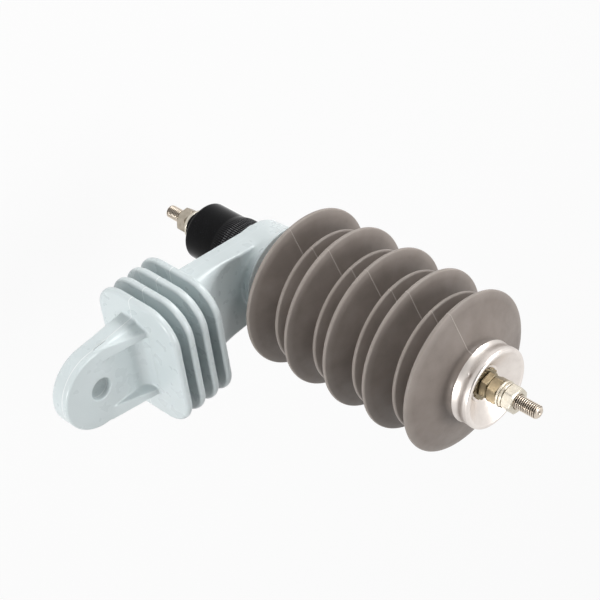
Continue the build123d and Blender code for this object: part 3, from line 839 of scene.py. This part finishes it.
def softMin(a, b, blend):
    # Union with a fillet: the smaller, less a quarter blend where the two are within the blend of each other.
    near = np.maximum(blend - np.abs(a - b), 0) / blend
    return np.minimum(a, b) - near * near * blend / 4


def softMax(a, b, blend):
    return -softMin(-a, -b, blend)


def roundedSlab(flatDistance, levelDistance, edgeRound):
    # Distance to a plate from its outline's distance and its level's distance, with rolled edges.
    out, over = flatDistance + edgeRound, levelDistance + edgeRound
    outside = np.sqrt(np.maximum(out, 0) ** 2 + np.maximum(over, 0) ** 2)
    return np.minimum(np.maximum(out, over), 0) + outside - edgeRound


def circleThrough(a, b, c):
    # Centre and radius of the circle on three points, from the two perpendicular bisectors.
    (ax, ay), (bx, by), (cx, cy) = a, b, c
    rows = np.array([[bx - ax, by - ay], [cx - ax, cy - ay]]) * 2
    right = np.array([bx * bx - ax * ax + by * by - ay * ay, cx * cx - ax * ax + cy * cy - ay * ay])
    centre = np.linalg.solve(rows, right)
    return centre, np.hypot(*(centre - a))


def bracketField(x, y, z, b=bracket):
    # Signed distance to the bracket, below 0 inside it: the soft union of its lug, ribs, fins, arm and boss.
    side = np.abs(y)
    lean = (b["lugRootHalf"] - b["lugTip"]) / b["finFirst"]
    outline = np.where(x < 0, np.hypot(x, y) - b["lugTip"], side - b["lugTip"] - lean * x)
    outline = np.maximum(outline, x - b["finFirst"])
    half = b["lugThickness"] / 2
    lug = roundedSlab(outline, np.abs(z - half) - half, b["lugRound"])
    # ribs: drafted sides under a top that falls from the first fin to the lug
    face = b["finFirst"] - b["finHalf"]
    slope = b["ribHeight"] / b["ribLength"]
    ribTop = b["lugThickness"] + b["ribHeight"] - (face - x) * slope
    ribSpread = b["ribDraft"] * (b["lugThickness"] + b["ribHeight"] - z)
    ribSide = np.abs(side - b["ribMiddle"]) - b["ribHalf"] - ribSpread
    rib = softMax(ribSide * 0.95, (z - ribTop) * 0.96, b["ribRound"])
    rib = np.maximum(rib, np.maximum(x - b["finFirst"], face - b["ribLength"] - 2 - x))
    rib = np.maximum(rib, b["lugThickness"] - 3 - z)
    field = softMin(lug, rib, 0.8)
    # web between the ribs: the corner outside a quarter circle
    webX, webZ = face - b["web"], b["lugThickness"] + b["web"]
    web = b["web"] - np.hypot(np.minimum(webX - x, 0), np.minimum(z - webZ, 0))
    web = np.maximum(np.maximum(web, side - b["ribMiddle"]), np.maximum(x - face - 1, 4 - z))
    web = np.maximum(web, np.maximum(webX - 2 - x, z - webZ))
    field = softMin(field, web, 0.8)
    # core and arm: level underside, hollow top, sides drawn in towards the boss
    finLast = b["finFirst"] + (b["finCount"] - 1) * b["finPitch"]
    start = finLast + b["finHalf"]
    rise = axisX - b["bossRadius"]
    width = np.where(
        x < start,
        b["lugRootHalf"]
        + (b["armFinHalf"] - b["lugRootHalf"]) * (x - b["finFirst"]) / (start - b["finFirst"]),
        b["armFinHalf"] + (b["bossRadius"] - b["armFinHalf"]) * (x - start) / (axisX - start),
    )
    sides = (side - width + b["armDraft"] * (z - b["armBottom"])) * 0.985
    centre, hollow = circleThrough((rise, b["collarSeat"]), b["valley"], (finLast, b["armFinTop"]))
    top = np.where(x < finLast, z - b["coreTop"], hollow - np.hypot(x - centre[0], z - centre[1]))
    top = np.where(x > rise, z - b["collarSeat"], top)
    along = np.clip((x - start) / (rise - start), 0, 1)
    roll = np.clip(1 - along / b["crestReach"], 0, 1) ** 1.5
    arm = softMax(sides, top, b["crestBlend"][1] + (b["crestBlend"][0] - b["crestBlend"][1]) * roll)
    arm = softMax(arm, b["armBottom"] - z, b["footBlend"])
    arm = np.maximum(arm, np.maximum(b["finFirst"] - x, x - axisX))
    # fins: rounded squares with full rims
    cornerY = side - (b["finWidth"] / 2 - b["finCorner"])
    cornerZ = np.abs(z - b["finMiddle"]) - (b["finHeight"] / 2 - b["finCorner"])
    plate = np.minimum(np.maximum(cornerY, cornerZ), 0)
    plate = plate + np.hypot(np.maximum(cornerY, 0), np.maximum(cornerZ, 0)) - b["finCorner"]
    nearest = np.clip(np.round((x - b["finFirst"]) / b["finPitch"]), 0, b["finCount"] - 1)
    fromFin = np.abs(x - b["finFirst"] - nearest * b["finPitch"]) - b["finHalf"]
    fins = roundedSlab(plate, fromFin, b["finRound"])
    body = softMin(arm, fins, np.where(x > finLast, b["armBlend"], b["rootBlend"]))
    field = softMin(field, body, b["rootBlend"])
    # boss and collar: radius by height, straight with draft and then a hollow flare
    reach = np.hypot(x - axisX, y)
    foot = (b["bossRadius"] + b["bossDraft"], b["collarFlare"])
    rim = (b["collarRadius"], b["collarTop"] - b["collarRound"])
    chord = np.array(rim) - foot
    length = np.hypot(*chord)
    away = np.array([chord[1], -chord[0]]) / length
    flareCentre = (np.array(rim) + foot) / 2 + away * np.sqrt(b["flareRadius"] ** 2 - (length / 2) ** 2)
    flare = flareCentre[0] - np.sqrt(np.maximum(b["flareRadius"] ** 2 - (z - flareCentre[1]) ** 2, 0.0))
    draft = b["bossRadius"] + b["bossDraft"] * (z - b["armBottom"]) / (b["collarFlare"] - b["armBottom"])
    wall = np.where(z < b["collarFlare"], draft, np.where(z > rim[1], b["collarRadius"], flare))
    middle = (b["armBottom"] + b["collarTop"]) / 2
    boss = roundedSlab((reach - wall) * 0.94, np.abs(z - middle) - (b["collarTop"] - b["armBottom"]) / 2, 0.7)
    field = softMin(field, boss, 2.0)
    recess = -np.maximum(reach - b["recess"], b["collarSeat"] - z)
    field = softMax(field, recess, 0.6)
    field = np.maximum(field, b["boreRadius"] - reach)
    return softMax(field, b["holeRadius"] - np.hypot(x, y), b["holeRound"] * 2)


def slopeOf(field, points, nudge=0.02):
    # The field's slope by differences over a small step each way.
    return np.stack([
        (field(*(points + step).T) - field(*(points - step).T)) / (2 * nudge)
        for step in np.eye(3) * nudge
    ], axis=1)


def ontoSurface(field, points):
    # Each point steps along the slope of the field by the field's value over the slope, three times.
    for _ in range(3):
        slope = slopeOf(field, points)
        move = (field(*points.T) / np.maximum((slope ** 2).sum(axis=1), 0.2))[:, None] * slope
        points = points - np.clip(move, -0.4, 0.4)
    return points


def skinOf(field, axes, relax):
    # One point in each cell that the surface crosses, at the mean of its crossings, and one quad round each
    # grid edge that it crosses. Then each point moves along the slope of the field onto the surface.
    x, y, z = np.meshgrid(*axes, indexing="ij")
    value = field(x, y, z)
    within = value < 0
    cells = np.array(within.shape) - 1
    corners = [(i, j, k) for i in (0, 1) for j in (0, 1) for k in (0, 1)]
    count = sum(
        within[i:cells[0] + i, j:cells[1] + j, k:cells[2] + k].astype(np.int8) for i, j, k in corners
    )
    active = (count > 0) & (count < 8)
    cell = np.argwhere(active)
    number = np.full(active.shape, -1)
    number[active] = np.arange(len(cell))
    total = np.zeros((len(cell), 3))
    hits = np.zeros((len(cell), 1))
    for a in corners:
        for b in corners:
            if sum(b) - sum(a) == 1 and sum(np.abs(np.subtract(b, a))) == 1:
                first, second = cell + a, cell + b
                va, vb = value[tuple(first.T)], value[tuple(second.T)]
                crossed = (va < 0) != (vb < 0)
                share = np.where(crossed, va / np.where(va == vb, 1, va - vb), 0)[:, None]
                pa = np.stack([axes[n][first[:, n]] for n in range(3)], axis=1)
                pb = np.stack([axes[n][second[:, n]] for n in range(3)], axis=1)
                total += np.where(crossed[:, None], pa + (pb - pa) * share, 0)
                hits += crossed[:, None]
    points = total / np.maximum(hits, 1)
    quads = []
    for n in range(3):
        p, q = (n + 1) % 3, (n + 2) % 3
        ends = [slice(None)] * 3
        ends[n] = slice(0, -1)
        starts = [slice(None)] * 3
        starts[n] = slice(1, None)
        changed = np.argwhere(within[tuple(ends)] != within[tuple(starts)])
        changed = changed[(changed[:, p] > 0) & (changed[:, q] > 0)]
        steps = np.zeros((4, 3), int)
        steps[1, p] = steps[2, p] = -1
        steps[2, q] = steps[3, q] = -1
        quad = np.stack([number[tuple((changed + s).T)] for s in steps], axis=1)
        leaving = within[tuple(changed.T)]
        quads.append(np.where(leaving[:, None], quad, quad[:, ::-1]))
    quads = np.concatenate(quads)
    points = ontoSurface(field, points)
    for _ in range(relax):  # each point goes to the mean of its quads' corners, then back onto the surface
        middle = points[quads].mean(axis=1)
        gathered = np.zeros_like(points)
        shares = np.zeros((len(points), 1))
        for corner in range(4):
            np.add.at(gathered, quads[:, corner], middle)
            np.add.at(shares, quads[:, corner], 1)
        points = ontoSurface(field, points * 0.4 + gathered / np.maximum(shares, 1) * 0.6)
    return points, quads


def makeBracket(b):
    low, high = bracketLow - b["margin"], bracketHigh + b["margin"]
    lugEnd = b["finFirst"] - b["finHalf"]
    axes = [np.arange(low[n], high[n] + b["grid"][n], b["grid"][n]) for n in range(3)]
    fine = np.arange(low[0], lugEnd, b["fineGrid"])
    axes[0] = np.concatenate([fine, np.arange(lugEnd, high[0], b["grid"][0])])
    points, quads = skinOf(bracketField, axes, b["relax"])
    points = np.clip(points, bracketLow, bracketHigh)
    normals = slopeOf(bracketField, points, b["shadingStep"])  # the field's own slope shades the skin
    normals /= np.linalg.norm(normals, axis=1, keepdims=True)
    return makePiece("bracket_body", points, quads, "bracket_moulding", ["insulating_bracket"], 180,
                     normals=normals)


makeBracket(bracket)


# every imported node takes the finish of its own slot
slotByNode = {part["node"]: part["material_slot"] for part in frame["record"]["subparts"]}
for node, piece in frame["nodes"].items():
    piece.data.materials.clear()
    piece.data.materials.append(looks[slotByNode[node]])
print("packed nodes finished:", len(slotByNode))


studio = {
    "drop": 0.05,  # metres from the object's lowest point to the floor
    "half": 4.0,
    "floor": linearColour("#DDDDDD"),
    "fill": 0.20,  # strength of the even light from all round
    "white": 1.0,
    "share": 0.93,  # how much of the floor's look is plain white, the rest being its lit paint
    "darkToward": (-0.49, 0.66, 0.57),  # the unlit part of the room
    "darkLeft": 0.12,
    "darkFrom": 0.55,  # cosine at which the unlit part starts
    "darkTo": 0.93,
}


def seenRays(tree):
    # 1 for the rays that see the plain background: the camera's, and those off gloss or through glass.
    path = addNode(tree, "ShaderNodeLightPath", give=None).outputs
    seen = path["Is Camera Ray"]
    for ray in ("Is Glossy Ray", "Is Transmission Ray"):
        seen = addNode(tree, "ShaderNodeMath", {0: seen, 1: path[ray]}, operation="MAXIMUM")
    return path["Is Camera Ray"], seen


def makeFloor(s):
    level = cadBox[0][2] - s["drop"]
    corners = [(x * s["half"], y * s["half"], level) for x, y in ((-1, -1), (1, -1), (1, 1), (-1, 1))]
    mesh = bpy.data.meshes.new("floor")
    mesh.from_pydata(corners, [], [(0, 1, 2, 3)])
    floor = bpy.data.objects.new("floor", mesh)
    bpy.context.scene.collection.objects.link(floor)
    material = bpy.data.materials.new("floor_paint")
    material.use_nodes = True
    tree = material.node_tree
    tree.nodes.clear()
    output = addNode(tree, "ShaderNodeOutputMaterial", give=None)
    _, seen = seenRays(tree)
    part = addNode(tree, "ShaderNodeMath", {0: seen, 1: s["share"]}, operation="MULTIPLY")
    paint = addNode(tree, "ShaderNodeBsdfDiffuse", {0: s["floor"]})
    glow = addNode(tree, "ShaderNodeEmission", {0: (1, 1, 1, 1), 1: s["white"]})
    tree.links.new(addNode(tree, "ShaderNodeMixShader", {0: part, 1: paint, 2: glow}), output.inputs[0])
    mesh.materials.append(material)


def makeWorld(s):
    world = bpy.data.worlds.new("studio")
    bpy.context.scene.world = world
    world.use_nodes = True
    tree = world.node_tree
    tree.nodes.clear()
    output = addNode(tree, "ShaderNodeOutputWorld", give=None)
    camera, seen = seenRays(tree)
    fill = addNode(tree, "ShaderNodeBackground", {0: (1, 1, 1, 1), 1: s["fill"]})
    # white all round, falling off softly towards the unlit part of the room, which the camera sees as white
    direction = addNode(tree, "ShaderNodeTexCoord", give="Generated")
    dark = tuple(Vector(s["darkToward"]).normalized())
    near = addNode(tree, "ShaderNodeVectorMath", {0: direction, 1: dark}, "Value", operation="DOT_PRODUCT")
    level = addNode(tree, "ShaderNodeMapRange", {
        0: near, 1: s["darkFrom"], 2: s["darkTo"], 3: s["white"], 4: s["darkLeft"],
    }, interpolation_type="SMOOTHSTEP")
    level = addNode(tree, "ShaderNodeMath", {0: level, 1: camera}, operation="MAXIMUM")
    white = addNode(tree, "ShaderNodeBackground", {0: (1, 1, 1, 1), 1: level})
    tree.links.new(addNode(tree, "ShaderNodeMixShader", {0: seen, 1: fill, 2: white}), output.inputs[0])


makeFloor(studio)
makeWorld(studio)

aim = Vector((0.1072, 0.0167, 0.0643))
# level is the share of full light that a lamp gives a surface facing it, and its power is level times the
# square of pi times the distance
lamps = [
    {"name": "overhead", "toward": (0.60, 1.0, 0.20), "distance": 1.3, "size": 0.6, "level": 0.70},
    {"name": "front", "toward": (-1.0, 0.08, 0.06), "distance": 1.4, "size": 0.4, "level": 0.60},
    {"name": "side", "toward": (0.25, 0.10, 1.0), "distance": 1.4, "size": 0.7, "level": 0.52},
]


def makeLamps(settings):
    for lamp in settings:
        light = bpy.data.lights.new(lamp["name"], "AREA")
        light.shape = "DISK"
        light.size = lamp["size"]
        light.energy = lamp["level"] * (np.pi * lamp["distance"]) ** 2
        holder = bpy.data.objects.new(lamp["name"], light)
        outward = Vector(lamp["toward"]).normalized()
        holder.location = aim + outward * lamp["distance"]
        holder.rotation_euler = (-outward).to_track_quat("-Z", "Y").to_euler()
        bpy.context.scene.collection.objects.link(holder)


makeLamps(lamps)

view = {
    "distance": 1.116, "azimuth": 126.62, "elevation": 34.99, "roll": 119.07, "lens": 120.34, "sensor": 36,
}


def makeCamera(v):
    # Stands at the azimuth and elevation from the aim point, then turns about its own line of sight.
    turn, lift, roll = np.radians([v["azimuth"], v["elevation"], v["roll"]])
    outward = np.array([np.cos(lift) * np.cos(turn), np.cos(lift) * np.sin(turn), np.sin(lift)])
    across = np.cross(-outward, (0, 0, 1))
    across /= np.linalg.norm(across)
    upright = np.cross(across, -outward)
    right = np.cos(roll) * across + np.sin(roll) * upright
    up = np.cross(outward, right)
    place = np.array(aim) + outward * v["distance"]
    matrix = Matrix([(right[n], up[n], outward[n], place[n]) for n in range(3)] + [(0, 0, 0, 1)])
    data = bpy.data.cameras.new("camera")
    data.lens = v["lens"]
    data.sensor_width = v["sensor"]
    camera = bpy.data.objects.new("camera", data)
    camera.matrix_world = matrix
    bpy.context.scene.collection.objects.link(camera)
    bpy.context.scene.camera = camera


makeCamera(view)
bpy.context.scene.view_settings.view_transform = "Standard"
print("studio ready")

bpy.context.view_layer.update()
print("cad box", [[round(v, 5) for v in c] for c in cadBox])
